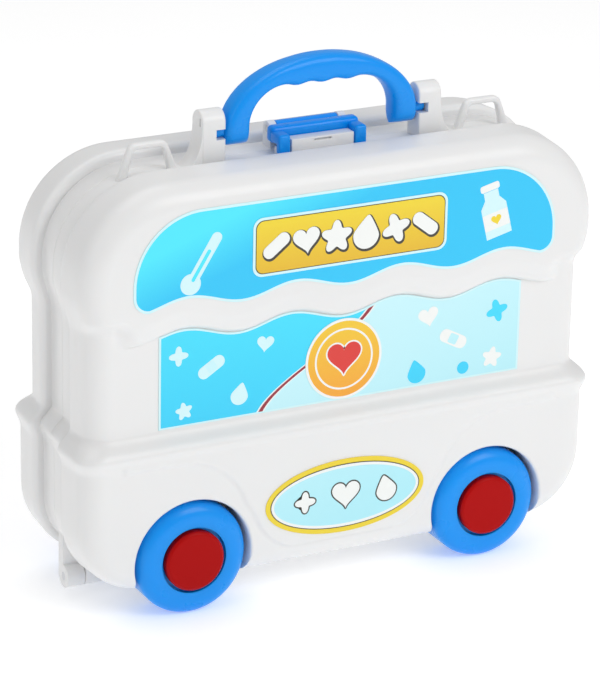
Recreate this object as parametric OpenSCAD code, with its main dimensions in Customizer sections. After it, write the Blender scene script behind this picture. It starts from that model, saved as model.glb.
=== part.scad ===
// Toy doctor case on wheels: two hollow half shells hinged at the bottom, with a
// folding carrying handle, a flip latch, four spinning wheels and flat labels.
// X runs along the case, the parting plane is Y = 0, the front is -Y, the floor is Z = 0.

/* [Body] */
// Width of the case over the roof and the lower body
body_w = 275; // [262:1:320]
// Height of the roof above the floor
body_top = 217; // [212:1:235]
// Height of the underside of the body above the floor
body_bottom = 14; // [13:0.5:16]
// Depth of each half from the parting plane to the face of the roof and lower body
half_depth = 43; // [42:0.5:44.5]
// How far the middle section lies back from the roof and the lower body
setback = 4.5; // [3:0.5:6]
// Radius of the two lower corners in front view
corner_r = 35; // [30:1:38]
// Radius of the two roof corners in front view
roof_corner_r = 47; // [42:1:49]
// Radius of the edge around the face of each half
edge_r = 12; // [10:0.5:14]
// Wall thickness of both halves
wall = 2.4; // [2:0.1:3]

/* [Belt and eave] */
// Height of the middle of the belt that runs round the case
belt_z = 87; // [82:1:92]
// How far the belt stands out beyond the lower body
belt_bulge = 2; // [1:0.25:2.5]
// Height over which the body narrows above the belt
ledge_h = 10; // [8:0.5:14]
// Height of the middle of the wavy eave
eave_z = 143; // [138:1:147]
// Height of the waves of the eave to either side of their middle
wave_amp = 2.8; // [1:0.2:4]
// Length of one wave of the eave
wave_pitch = 56; // [40:1:70]
// Thickness of the wavy eave in front of the middle section
eave_t = 3; // [1.5:0.25:3.5]
// Height of the lower edge of the panel between the wheels
apron_z = 24; // [21:0.5:28]
// Thickness of the panel between the wheels
apron_t = 1.2; // [0.6:0.1:1.4]

/* [Rim] */
// Width of the flat rim strip of each half
strip_w = 13.5; // [13:0.25:15]
// How far the rim strip lies inside the body
strip_inset = 4; // [3.5:0.25:4.5]
// Width of the groove beside the rim strip
groove_w = 1.5; // [1:0.25:2]
// Depth of the groove below the rim strip
groove_d = 1.2; // [0.6:0.1:1.4]
// Thickness of the rim strip
rim_t = 3; // [2.6:0.1:3.5]
// Height of the tongue that keeps the halves in line
tongue_h = 3; // [2:0.25:4]
// Thickness of the tongue
tongue_t = 1.6; // [1.2:0.1:2]

/* [Wheels] */
// Outer radius of the wheels
wheel_r = 28.5; // [27:0.1:29]
// Distance of the wheel centres from the sides of the case
wheel_inset = 57.5; // [55:0.5:62]
// Width of a wheel
wheel_w = 22.5; // [20:0.5:23]
// How far the wheels stand out of the face of the lower body
wheel_out = 0.5; // [0:0.25:2]
// Gap between a wheel and the arch around it
arch_gap = 2; // [1.2:0.1:3]
// Radius of the hub caps
cap_r = 15.1; // [14:0.1:15.8]
// How far the hub caps stand out of the wheels
cap_out = 2; // [1:0.25:3]
// Radius of the axle pins
axle_r = 3; // [2.5:0.1:3.5]
// Radius of the retaining head of an axle pin
axle_head_r = 5.5; // [5:0.1:6]

/* [Handle] */
// Distance of the handle from the parting plane
handle_y = 7.5; // [6.5:0.25:8]
// Height of the handle pins above the roof
pin_h = 11.3; // [10.5:0.1:14]
// Distance of the handle legs' outer faces from the middle
leg_x = 51; // [46:0.5:54]
// Width of each handle leg in front view
leg_w = 13; // [11:0.5:15]
// Height of the top of the grip above the handle pins
grip_rise = 32.5; // [32:0.5:42]
// Thickness of the grip in front view
grip_t = 13; // [11:0.5:13.5]
// Depth of the handle from front to back
handle_t = 14; // [12:0.5:14]
// Height of the finger waves under the grip
finger_amp = 1.1; // [0.5:0.1:1.6]
// Radius of the handle pins
handle_pin_r = 3; // [2.5:0.1:3.4]
// Width of each ear that carries the handle
ear_w = 12; // [11:0.5:15]
// Depth of each ear from front to back
ear_t = 12; // [10:0.2:12]
// Height of each ear above the handle pins
ear_h = 11.6; // [11:0.1:13]

/* [Latch] */
// Length of the latch bar
latch_w = 47; // [43:0.5:54]
// Thickness of the latch bar from front to back
latch_bar = 6.5; // [5.5:0.25:7]
// Height of the latch bar
latch_h = 8.2; // [8:0.2:9.4]
// Distance of the latch pin behind the parting plane
latch_pin_y = 6; // [5.5:0.25:6.5]
// Height of the latch pin above the rim strip
latch_pin_h = 8.5; // [8:0.25:10]
// Radius of the latch pin
latch_pin_r = 1.5; // [1.2:0.1:1.8]
// Distance of the front of the latch bar from the latch pin
latch_reach = 11.5; // [11:0.25:12]
// How far the latch arms reach forward beside the catch
latch_arm_reach = 8; // [7.5:0.25:8.5]
// Width of the catch block on the front half
catch_w = 33; // [30:0.5:34]
// Thickness of the catch block from front to back
catch_t = 6.5; // [5.5:0.25:7]
// Height of the catch block above the rim strip
catch_h = 8; // [7:0.25:10]

/* [Hinge and strap loops] */
// Radius of the hinge knuckles
knuckle_r = 5.8; // [5:0.1:6]
// Radius of the hinge pins
hinge_pin_r = 2; // [1.6:0.1:2.4]
// Width of one hinge knuckle
knuckle_w = 9; // [8:0.5:10]
// Distance of the outer end of each hinge from the sides of the case
hinge_inset = 8.5; // [8:0.5:16]
// Distance of the strap loops from the sides of the case
loop_inset = 48.5; // [46:0.5:51]
// Width of a strap loop at its foot
loop_w = 32; // [28:1:34]
// Height of a strap loop above the roof
loop_h = 11; // [9:0.5:14]
// Thickness of the bar of a strap loop
loop_bar = 3.2; // [2.8:0.1:4]

/* [Labels] */
// Thickness of the labels
label_t = 0.4; // [0.2:0.05:0.6]
// Gap between a label and the step beside it
label_gap = 0.5; // [0.3:0.1:1]
// Distance of the ends of the roof label from the sides of the case
roof_label_inset = 25.5; // [25:0.5:34]
// Distance of the ends of the label on the middle section from the sides of the case
panel_label_inset = 40.5; // [37:0.5:54]
// Width of the title plate
title_w = 103; // [80:1:110]
// Height of the title plate
title_h = 29; // [22:0.5:31]
// Radius of the round emblem
emblem_r = 20.5; // [16:0.5:21]
// Width of the oval label
oval_w = 86; // [70:1:92]
// Height of the oval label
oval_h = 38; // [30:1:40]

/* [Hidden] */

// Clearances: a shaft that turns in a bore, a part that passes beside another
fit = 0.05;
play = 0.4;
// Cuts run this far past the faces that they open
cut = 1;
// Sides of the round solids
round_fn = 48;

left = -1;
right = 1;
front = -1;
rear = 1;

// Steps of the outline along each corner, and of the profile around the face edge
corner_steps = 7;
edge_steps = 5;

half_w = body_w / 2;
corner_x = half_w - corner_r;
roof_corner_x = half_w - roof_corner_r;
wheel_x = half_w - wheel_inset;
hinge_end = half_w - hinge_inset;
loop_x = half_w - loop_inset;
roof_label_w = body_w - 2 * roof_label_inset;
panel_label_w = body_w - 2 * panel_label_inset;
low_corner_z = body_bottom + corner_r;
high_corner_z = body_top - roof_corner_r;
bead_start = strip_w + groove_w + 0.5;
belt_half = 9;
ledge_top = belt_z + belt_half - 0.5;
flare_h = 22;
flare_bottom = high_corner_z - flare_h - 4;
// The roof slopes out from the middle section above this height
slope_z = eave_z + 4;
eave_slope = 8;
rim_inset = strip_inset + rim_t;
mid_depth = half_depth - setback;
strip_top = body_top - strip_inset;
roof_flat_top = body_top - edge_r;
taper = 0.8;
// The depth of the face is blended in from here outwards
straight_depth = 20;

wheel_z = wheel_r;
wheel_face = half_depth + wheel_out;
arch_r = wheel_r + arch_gap;
pocket_depth = wheel_face - wheel_w - play;
boss_r = axle_r + 3.5;
boss_l = 7;
shoulder_r = wheel_r - 7.5;
shoulder_l = 6;
cap_recess_r = cap_r + 1.6;
cap_seat = wheel_face - 3;
cap_spigot_r = 8;
cap_spigot_l = 3;
head_t = 1.6;

handle_pin_z = body_top + pin_h;
handle_pin_l = 4.5;
foot_r = handle_t / 2;
// Slot through which each handle pin snaps into its ear from the front
snap_slot_h = 2 * handle_pin_r - 1;
handle_edge = 2.5;
grip_inner_r = 18;
grip_waves = 3;
handle_steps = 32;

latch_front = latch_pin_y - latch_reach;
latch_pin_z = strip_top + latch_pin_h;
// The latch bar stands this far above the rim strip
latch_lift = 4.4;
latch_low = strip_top + latch_lift;
latch_arm_w = (latch_w - catch_w) / 2 - play - 0.3;
hook_t = 3.9;
hook_drop = 4;
lug_r = 4;
lug_w = 4;
lug_inset = 6.9;
lug_x = latch_w / 2 - lug_inset;
catch_back = latch_front - 1;
catch_top = strip_top + catch_h;
wing_t = 2.5;
wing_h = 4;
wing_w = latch_arm_w - 0.3;

hinge_z = body_bottom + strip_inset - knuckle_r - 0.6;

// Smooth step from 0 to 1
function smooth(t) = t <= 0 ? 0 : t >= 1 ? 1 : t * t * (3 - 2 * t);
// Smooth hump of height 1 between -1 and 1
function hump(t) = abs(t) >= 1 ? 0 : pow(cos(90 * t), 2);
function belt(z) = belt_bulge * hump((z - belt_z) / belt_half);
function below_ledge(z) = smooth((ledge_top - z) / ledge_h);
// Half width of the body and depth of its face at a height
function side_at(z) =
    half_w - setback * (1 - max(below_ledge(z), smooth((z - flare_bottom) / flare_h))) + belt(z);
function face_at(z) =
    half_depth - setback * (1 - max(below_ledge(z), smooth((z - slope_z) / eave_slope))) + belt(z);
function arc(cx, cz, r, a0, a1, n) = [for (i = [0:n]) let (a = a0 + (a1 - a0) * i / n)
    [cx + r * cos(a), cz + r * sin(a)]];
function wave_z(x) = eave_z - wave_amp * cos(360 * x / wave_pitch);
function mirror_x(pts) = [for (i = [len(pts) - 1:-1:0]) [-pts[i][0], pts[i][1]]];

// Heights of the outline's points up each side, closer together at the belt and the roof's slope
function levels(z0, z1, n) = [for (i = [0:n - 1]) z0 + (z1 - z0) * i / n];
side_levels = concat(levels(low_corner_z, belt_z - belt_half, 3),
    levels(belt_z - belt_half, belt_z + belt_half, 8),
    levels(belt_z + belt_half, slope_z, 4), levels(slope_z, slope_z + eave_slope, 4),
    levels(slope_z + eave_slope, high_corner_z, 6));

// Right half of the body outline, moved inwards by d, from the bottom to the top
function half_outline(d) = concat(
    arc(corner_x, low_corner_z, corner_r - d, -90, 0, corner_steps),
    [for (i = [1:len(side_levels) - 1]) [side_at(side_levels[i]) - d, side_levels[i]]],
    arc(roof_corner_x, high_corner_z, roof_corner_r - d, 0, 90, corner_steps));
function outline(d) = concat(half_outline(d), mirror_x(half_outline(d)));

// One ring of the loft: the face end of the body follows the depth of the face at each height
function ring(depth, d, s) =
    let (w = smooth((depth - straight_depth) / (half_depth - edge_r - straight_depth)))
    [for (p = outline(d)) [p[0], s * (depth - w * (half_depth - face_at(p[1]))), p[1]]];

// Closed solid through rings [depth, inset], with flat strips over its two ends
module loft(rings, s) {
    n = len(outline(0));
    m = n / 2;
    k = len(rings);
    points = [for (r = rings) each ring(r[0], r[1], s)];
    walls = [for (j = [0:k - 2], i = [0:n - 1]) let (a = j * n + i, b = j * n + (i + 1) % n)
        each [[a, b, b + n], [a, b + n, a + n]]];
    first = [for (i = [0:m - 2]) each [[i, n - 1 - i, n - 2 - i], [i, n - 2 - i, i + 1]]];
    last = [for (f = first) [f[0], f[2], f[1]] + [1, 1, 1] * (k - 1) * n];
    faces = concat(walls, first, last);
    polyhedron(points, s > 0 ? [for (f = faces) [f[0], f[2], f[1]]] : faces, convexity = 8);
}

// Rings around the rounded edge of the face, t inside the outer surface
function edge_rings(t) = [for (i = [0:edge_steps]) let (a = 90 - 90 * i / edge_steps)
    [half_depth - edge_r + (edge_r - t) * sin(a), taper + t + (edge_r - t) * (1 - cos(a))]];
function bead_rings() = [[bead_start + 6, 0.2], [bead_start + 3, 0], [bead_start + 1.3, 0.4],
    [bead_start, 1.8], [bead_start - 0.5, strip_inset + groove_d],
    [strip_w, strip_inset + groove_d], [strip_w - 0.5, strip_inset], [0, strip_inset]];
function inner_rings(end_depth, lip) = concat(edge_rings(wall),
    [[bead_start + 5, wall + 0.2], [bead_start + 1, rim_inset], [tongue_h + 5, rim_inset],
     [tongue_h + 3, lip], [end_depth, lip]]);

module front_hollow() { loft(inner_rings(-cut, rim_inset), front); }
module rear_hollow() { loft(inner_rings(-tongue_h - cut, rim_inset + play + tongue_t), rear); }

// Cylinder along Y between two depths on one side of the parting plane
module y_rod(x, z, r, d0, d1, s) {
    translate([x, s * d0, z]) rotate([s * -90, 0, 0]) cylinder(r = r, h = d1 - d0, $fn = round_fn);
}
// Cylinder along X between two places
module x_rod(x0, x1, y, z, r) {
    translate([x0, y, z]) rotate([0, 90, 0]) cylinder(r = r, h = x1 - x0, $fn = round_fn);
}
// Plate with an outline in front view between two depths of one side
module plate(pts, d0, d1, s) {
    translate([0, s > 0 ? d1 : -d0, 0]) rotate([90, 0, 0]) linear_extrude(d1 - d0) polygon(pts);
}

module hollow_less_fixtures(s) {
    difference() {
        if (s < 0) front_hollow(); else rear_hollow();
        for (side = [left, right]) {
            y_rod(side * wheel_x, wheel_z, arch_r + wall, pocket_depth - wall, half_depth + cut, s);
            y_rod(side * wheel_x, wheel_z, boss_r, pocket_depth - wall - boss_l, pocket_depth, s);
        }
    }
}
module wheel_pockets(s) {
    for (side = [left, right]) {
        y_rod(side * wheel_x, wheel_z, arch_r, pocket_depth, half_depth + 5, s);
        y_rod(side * wheel_x, wheel_z, axle_r, pocket_depth - wall - boss_l - cut, pocket_depth + cut, s);
    }
}

// Knuckle with the web that joins it to its half, between two distances from the middle
module knuckle(side, x0, x1, s) {
    a = side > 0 ? x0 : -x1;
    x_rod(a, a + x1 - x0, 0, hinge_z, knuckle_r);
    translate([a, s > 0 ? play : -knuckle_r, hinge_z])
        cube([x1 - x0, knuckle_r - play, low_corner_z - hinge_z]);
}
module knuckles(s) {
    for (side = [left, right])
        if (s > 0) {
            knuckle(side, hinge_end - knuckle_w, hinge_end, s);
            knuckle(side, hinge_end - 3 * knuckle_w, hinge_end - 2 * knuckle_w, s);
        } else
            knuckle(side, hinge_end - 2 * knuckle_w + play, hinge_end - knuckle_w - play, s);
}
module hinge_bores(r) {
    for (side = [left, right]) {
        a = side > 0 ? hinge_end - 3 * knuckle_w : -hinge_end;
        x_rod(a - cut, a + 3 * knuckle_w + cut, 0, hinge_z, r);
    }
}

module apron() {
    fender_r = arch_r + 4;
    fender_x = wheel_x + 7;
    fender_z = belt_z - belt_half - fender_r;
    skirt_r = 30;
    skirt_x = wheel_x - 60;
    half = concat(arc(skirt_x, apron_z + skirt_r, skirt_r, -90, -17, 6),
        arc(fender_x, fender_z, fender_r, 163, 90, 8),
        [[half_w - edge_r - 8, belt_z - belt_half], [half_w - edge_r - 8, belt_z]]);
    plate(concat(half, mirror_x(half)), half_depth - wall, half_depth + apron_t, front);
}

module eave() {
    n = 56;
    x_end = half_w - setback - edge_r;
    edge = [for (i = [0:n]) let (x = -x_end + 2 * x_end * i / n) [x, wave_z(x)]];
    plate(concat(edge, [[x_end, slope_z + eave_slope], [-x_end, slope_z + eave_slope]]),
        mid_depth - wall, mid_depth + eave_t, front);
}

module ear(side) {
    base = strip_top - 1;
    inner = leg_x + play;
    a = side > 0 ? inner : -inner - ear_w;
    top_r = ear_t / 2;
    x_rod(a, a + ear_w, -handle_y, handle_pin_z + ear_h - top_r, top_r);
    translate([a, -handle_y - top_r, base])
        cube([ear_w, ear_t, handle_pin_z + ear_h - top_r - base]);
    gusset = [[side * (inner + ear_w - 1), base], [side * (inner + ear_w + 11), base],
        [side * (inner + ear_w + 3), base + 12], [side * (inner + ear_w), base + 20],
        [side * (inner + ear_w - 1), base + 20]];
    plate(gusset, handle_y - 3, handle_y + 3, front);
}

module strap_loop(side) {
    foot = strip_top - 6;
    top = body_top + loop_h;
    w = loop_w / 2;
    t = loop_w / 4 + 1;
    outer = [[-w, foot], [w, foot], [t + 2, top - 4], [t - 1, top], [1 - t, top], [-t - 2, top - 4]];
    inner = [[loop_bar + 1 - w, foot - cut], [w - loop_bar - 1, foot - cut], [t - 2, top - loop_bar],
        [2 - t, top - loop_bar]];
    translate([side * loop_x, 0, 0]) difference() {
        plate(outer, handle_y - 2, handle_y + 2, front);
        plate(inner, handle_y - 2 - cut, handle_y + 2 + cut, front);
    }
}

module catch_block() {
    base = strip_top - 1;
    translate([-catch_w / 2, catch_back - catch_t, base]) cube([catch_w, catch_t, catch_top - base]);
    translate([-catch_w / 2 - wing_w, catch_back - wing_t, base])
        cube([catch_w + 2 * wing_w, wing_t, wing_h + 1]);
}

module latch_lugs() {
    for (side = [left, right]) {
        a = side > 0 ? lug_x : -lug_x - lug_w;
        x_rod(a, a + lug_w, latch_pin_y, latch_pin_z, lug_r);
        translate([a, latch_pin_y - lug_r, strip_top - 1])
            cube([lug_w, 2 * lug_r, latch_pin_z - strip_top + 1]);
    }
}

module rear_shell() {
    color("whitesmoke") difference() {
        union() {
            loft(concat(edge_rings(0), bead_rings(),
                [[0, rim_inset + play], [-tongue_h, rim_inset + play]]), rear);
            knuckles(rear);
            latch_lugs();
        }
        hollow_less_fixtures(rear);
        wheel_pockets(rear);
        hinge_bores(hinge_pin_r);
        x_rod(-lug_x - lug_w - cut, lug_x + lug_w + cut, latch_pin_y, latch_pin_z, latch_pin_r);
    }
}

module front_shell() {
    color("whitesmoke") difference() {
        union() {
            loft(concat(edge_rings(0), bead_rings()), front);
            apron();
            eave();
            knuckles(front);
            for (side = [left, right]) {
                ear(side);
                strap_loop(side);
            }
            catch_block();
        }
        hollow_less_fixtures(front);
        wheel_pockets(front);
        hinge_bores(hinge_pin_r + fit);
        for (side = [left, right]) {
            a = side > 0 ? leg_x : -leg_x - handle_pin_l - play;
            x_rod(a, a + handle_pin_l + play, -handle_y, handle_pin_z, handle_pin_r + fit);
            translate([a, -handle_y - ear_t, handle_pin_z - snap_slot_h / 2])
                cube([handle_pin_l + play, ear_t, snap_slot_h]);
        }
    }
}

module hinge_pin(side) {
    a = side > 0 ? hinge_end - 3 * knuckle_w : -hinge_end;
    color("silver") x_rod(a, a + 3 * knuckle_w, 0, hinge_z, hinge_pin_r);
}
module hinge_pin_left() { hinge_pin(left); }
module hinge_pin_right() { hinge_pin(right); }

// Outer outline of the handle in front view, half an ellipse, moved inwards by d
function handle_outer(d) = [for (i = [0:handle_steps]) let (a = 180 * i / handle_steps)
    [(leg_x - d) * cos(a), handle_pin_z + (grip_rise - d) * sin(a)]];
// Inner outline of the handle, with the finger waves under the grip
function handle_inner(d) = let (x = leg_x - leg_w, z = handle_pin_z + grip_rise - grip_t, n = 24,
        w = x - grip_inner_r)
    concat([[-x - d, handle_pin_z - foot_r - cut]],
        arc(-w, z - grip_inner_r, grip_inner_r + d, 180, 90, 5),
        [for (i = [1:n - 1]) let (u = -w + 2 * w * i / n)
            [u, z + d - finger_amp * (1 - cos(360 * grip_waves * (u + w) / (2 * w))) / 2]],
        arc(w, z - grip_inner_r, grip_inner_r + d, 90, 0, 5),
        [[x + d, handle_pin_z - foot_r - cut]]);
module handle_body(d, t) {
    reach = leg_x - d;
    translate([0, -handle_y + t / 2, 0]) rotate([90, 0, 0]) linear_extrude(t) difference() {
        polygon(concat([[-reach, handle_pin_z - foot_r], [reach, handle_pin_z - foot_r]],
            handle_outer(d)));
        polygon(handle_inner(d));
    }
}
module handle() {
    color("dodgerblue") {
        difference() {
            union() {
                handle_body(0, handle_t - 2 * handle_edge);
                handle_body(handle_edge / 2, handle_t - handle_edge * 0.8);
                handle_body(handle_edge, handle_t);
            }
            for (side = [left, right]) difference() {
                translate([side * leg_x - 1.5 * leg_w, -handle_y - handle_t, handle_pin_z - 2 * foot_r])
                    cube([3 * leg_w, 2 * handle_t, 2 * foot_r]);
                x_rod(side * leg_x - 2 * leg_w, side * leg_x + 2 * leg_w, -handle_y, handle_pin_z, foot_r);
            }
        }
        for (side = [left, right]) {
            a = side > 0 ? leg_x - cut : -leg_x - handle_pin_l;
            x_rod(a, a + handle_pin_l + cut, -handle_y, handle_pin_z, handle_pin_r);
        }
    }
}

module latch() {
    back = latch_front + latch_bar;
    color("dodgerblue") difference() {
        union() {
            translate([-latch_w / 2, latch_front, latch_low]) cube([latch_w, latch_bar, latch_h]);
            for (side = [left, right]) {
                a = side > 0 ? latch_w / 2 - latch_arm_w : -latch_w / 2;
                translate([a, latch_front - latch_arm_reach, latch_low + 0.8])
                    cube([latch_arm_w, latch_arm_reach + cut, latch_h - 2.6]);
                translate([a, latch_front - latch_arm_reach, latch_low + 0.8 - hook_drop])
                    cube([latch_arm_w, hook_t, hook_drop + cut]);
            }
            x_rod(play - lug_x, lug_x - play, latch_pin_y, latch_pin_z, lug_r - 0.4);
            translate([play - lug_x, back - cut, latch_pin_z - lug_r + 0.6])
                cube([2 * (lug_x - play), latch_pin_y - back + cut, 2 * lug_r - 1.2]);
        }
        x_rod(-lug_x, lug_x, latch_pin_y, latch_pin_z, latch_pin_r + fit);
    }
}
module latch_pin() {
    color("silver") x_rod(-lug_x - lug_w, lug_x + lug_w, latch_pin_y, latch_pin_z, latch_pin_r);
}

// Turns a profile [radius, depth] about the wheel's axle
module turned(side, s, pts) {
    translate([side * wheel_x, 0, wheel_z]) rotate([s * -90, 0, 0])
        rotate_extrude($fn = 72) polygon(pts);
}
module wheel(side, s) {
    back = wheel_face - wheel_w;
    tread = [for (i = [0:8]) let (a = 90 * i / 8)
        [shoulder_r + (wheel_r - shoulder_r) * cos(a), wheel_face - shoulder_l + shoulder_l * sin(a)]];
    color("dodgerblue") turned(side, s, concat(
        [[axle_r + fit, back], [wheel_r - 1, back], [wheel_r, back + 1]], tread,
        [[cap_recess_r, wheel_face], [cap_recess_r, cap_seat], [cap_spigot_r, cap_seat],
         [cap_spigot_r, cap_seat - cap_spigot_l], [axle_r + fit, cap_seat - cap_spigot_l]]));
}
module wheel_front_left() { wheel(left, front); }
module wheel_front_right() { wheel(right, front); }
module wheel_rear_left() { wheel(left, rear); }
module wheel_rear_right() { wheel(right, rear); }

module hub_cap(side, s) {
    out = wheel_face + cap_out;
    ring_r = axle_head_r + 0.7;
    color("darkred") turned(side, s, [[0, cap_seat], [ring_r, cap_seat],
        [ring_r, cap_seat - cap_spigot_l + 0.2], [cap_spigot_r, cap_seat - cap_spigot_l + 0.2],
        [cap_spigot_r, cap_seat], [cap_r, cap_seat], [cap_r, out - 1.2], [cap_r - 1.2, out], [0, out]]);
}
module hub_cap_front_left() { hub_cap(left, front); }
module hub_cap_front_right() { hub_cap(right, front); }
module hub_cap_rear_left() { hub_cap(left, rear); }
module hub_cap_rear_right() { hub_cap(right, rear); }

module axle(side, s) {
    seat = cap_seat - cap_spigot_l + 0.1;
    color("silver") {
        y_rod(side * wheel_x, wheel_z, axle_r, pocket_depth - wall - boss_l, seat + cut / 2, s);
        y_rod(side * wheel_x, wheel_z, axle_head_r, seat, seat + head_t, s);
    }
}
module axle_front_left() { axle(left, front); }
module axle_front_right() { axle(right, front); }
module axle_rear_left() { axle(left, rear); }
module axle_rear_right() { axle(right, rear); }

module roof_label() {
    x = roof_label_w / 2;
    top = roof_flat_top - label_gap;
    r = roof_corner_r - edge_r;
    low_r = 8;
    low_x = x - low_r;
    low_z = wave_z(low_x) + eave_slope + 8;
    n = 48;
    low = [for (i = [1:n - 1]) let (u = -low_x + 2 * low_x * i / n)
        [u, wave_z(u) - wave_z(low_x) + low_z]];
    color("deepskyblue") plate(concat(low, arc(low_x, low_z + low_r, low_r, -90, 0, 5),
        arc(x - r, top - r, r, 0, 90, 8), arc(r - x, top - r, r, 90, 180, 8),
        arc(-low_x, low_z + low_r, low_r, 180, 270, 5)), half_depth, half_depth + label_t, front);
}
module panel_label() {
    x = panel_label_w / 2;
    low = belt_z + belt_half + label_gap;
    n = 48;
    top = [for (i = [0:n]) let (u = x - 2 * x * i / n) [u, wave_z(u) - label_gap - 0.1]];
    color("skyblue") plate(concat([[-x, low], [x, low]], top),
        mid_depth, mid_depth + label_t, front);
}
function rounded(w, h, cz, r) = concat(arc(w / 2 - r, cz - h / 2 + r, r, -90, 0, 5),
    arc(w / 2 - r, cz + h / 2 - r, r, 0, 90, 5), arc(r - w / 2, cz + h / 2 - r, r, 90, 180, 5),
    arc(r - w / 2, cz - h / 2 + r, r, 180, 270, 5));
module title_plate() {
    title_z = (roof_flat_top + eave_z) / 2 + 7.5;
    color("gold") plate(rounded(title_w, title_h, title_z, 5), half_depth + label_t,
        half_depth + 2 * label_t, front);
}
module emblem_label() {
    color("orange") y_rod(0, (ledge_top + eave_z) / 2 - 2, emblem_r, mid_depth + label_t,
        mid_depth + 2 * label_t, front);
}
module oval_label() {
    n = 60;
    z = (apron_z + belt_z - belt_half) / 2 - 2.5;
    color("khaki") plate([for (i = [0:n - 1]) let (a = 360 * i / n)
        [oval_w / 2 * cos(a), z + oval_h / 2 * sin(a)]], half_depth + apron_t,
        half_depth + apron_t + label_t, front);
}

rear_shell();
front_shell();
hinge_pin_left();
hinge_pin_right();
handle();
latch();
latch_pin();
wheel_front_left();
wheel_front_right();
wheel_rear_left();
wheel_rear_right();
hub_cap_front_left();
hub_cap_front_right();
hub_cap_rear_left();
hub_cap_rear_right();
axle_front_left();
axle_front_right();
axle_rear_left();
axle_rear_right();
roof_label();
panel_label();
title_plate();
emblem_label();
oval_label();
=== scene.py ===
"""Blender model of a toy doctor case: two hinged plastic half shells on wheels, with a folding
handle, a flip latch, strap loops and printed labels. X runs along the case, the front is -Y,
the floor is Z = 0. Formulas are in millimetres, and a mesh is put down in metres."""

from math import pi, radians
from types import SimpleNamespace

import bmesh
import bpy
import numpy as np
from bpy.props import FloatProperty, FloatVectorProperty, IntProperty, PointerProperty
from mathutils import Matrix, Vector


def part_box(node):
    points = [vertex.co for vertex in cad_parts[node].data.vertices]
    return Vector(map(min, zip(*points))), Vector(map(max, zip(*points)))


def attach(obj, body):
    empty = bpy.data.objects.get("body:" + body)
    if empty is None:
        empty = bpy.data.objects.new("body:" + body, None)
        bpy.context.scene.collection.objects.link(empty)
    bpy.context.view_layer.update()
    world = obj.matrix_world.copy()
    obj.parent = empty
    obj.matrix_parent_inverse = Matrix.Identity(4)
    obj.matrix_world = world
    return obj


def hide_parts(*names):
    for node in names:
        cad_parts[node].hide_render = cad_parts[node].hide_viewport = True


bl_info = {
    "name": "Toy Doctor Case",
    "version": (1, 0, 0),
    "blender": (4, 5, 0),
    "location": "View3D > Sidebar > Toy Case",
    "description": "Builds the case, its wheels, handle, latch, labels and studio from formulas",
    "category": "Add Mesh",
}

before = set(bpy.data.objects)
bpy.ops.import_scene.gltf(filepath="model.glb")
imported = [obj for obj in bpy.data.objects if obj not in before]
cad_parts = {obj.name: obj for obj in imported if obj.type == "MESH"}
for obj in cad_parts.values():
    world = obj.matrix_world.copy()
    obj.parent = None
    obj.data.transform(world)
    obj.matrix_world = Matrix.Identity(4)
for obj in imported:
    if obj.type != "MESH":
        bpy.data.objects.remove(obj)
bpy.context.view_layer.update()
MM = 0.001

# Lengths in millimetres that several pieces share
PLAY = 0.4  # gap between pieces that move past each other
ROOT = 0.8  # how far a fitting reaches down into the roof
BOSS = 7  # length of an axle boss behind its wheel arch
ROLL = 1.4  # radius of the rolled mouth of a wheel arch
LUG_INSET, LUG_WIDTH = 6.9, 4  # latch lugs, from the ends of the latch bar
LATCH_FRONT, CATCH_BACK = 11.5, 12.5  # how far these faces lie in front of the latch pin
LATCH_UNDER = 4.4  # height of the latch bar above the rim strip
LAYER, PRINT_ROOT = 0.05, 0.3  # step between printed layers, and how far each one reaches into its film
SIDES = (("left", -1), ("right", 1))


def node_size(node, axis):
    """Size of a CAD node along an axis, in millimetres."""
    low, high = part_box(node)
    return (high[axis] - low[axis]) / MM


def length(name, description, default):
    """A size property in metres, given in millimetres."""
    return FloatProperty(name=name, description=description, default=default * MM, min=0, unit="LENGTH")


def colour(name, description, default):
    """A colour property, linear red, green and blue."""
    return FloatVectorProperty(name=name, description=description, default=default, size=3, min=0, max=1,
                               subtype="COLOR")


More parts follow.
